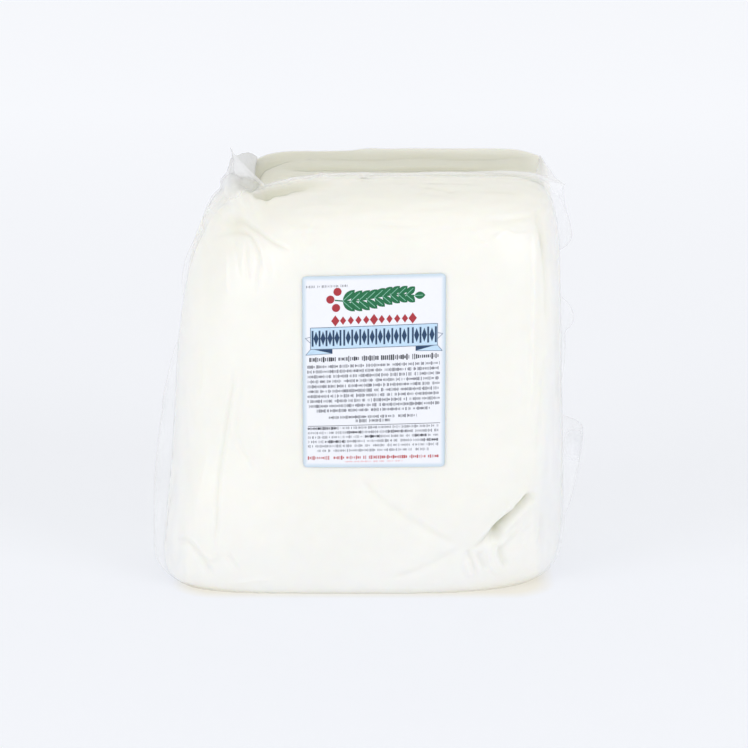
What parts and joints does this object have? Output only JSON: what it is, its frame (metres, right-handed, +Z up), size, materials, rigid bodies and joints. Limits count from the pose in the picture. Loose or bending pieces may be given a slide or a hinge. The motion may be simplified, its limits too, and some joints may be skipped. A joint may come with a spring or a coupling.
{
  "type": "vacuum-packed block of mozzarella curd",
  "caption": "Rounded block of ivory-white fresh cheese curd sealed tight in clear film, with thin seam fins and a sheet label on its front, standing on its small end.",
  "frame": {"origin": "centre of the flat foot that the pack stands on", "axes": "+Z up, -Y towards the labelled front, +X to the right seen from the front"},
  "size_m": [0.2425, 0.1507, 0.2316],
  "materials": {
    "curd": "damp ivory curd, faintly uneven, seen through clear film",
    "film": "clear crinkled film, glossy",
    "label": null
  },
  "bodies": {
    "root": {"sealed_bag": "curd", "label": "label"}
  },
  "joints": []
}
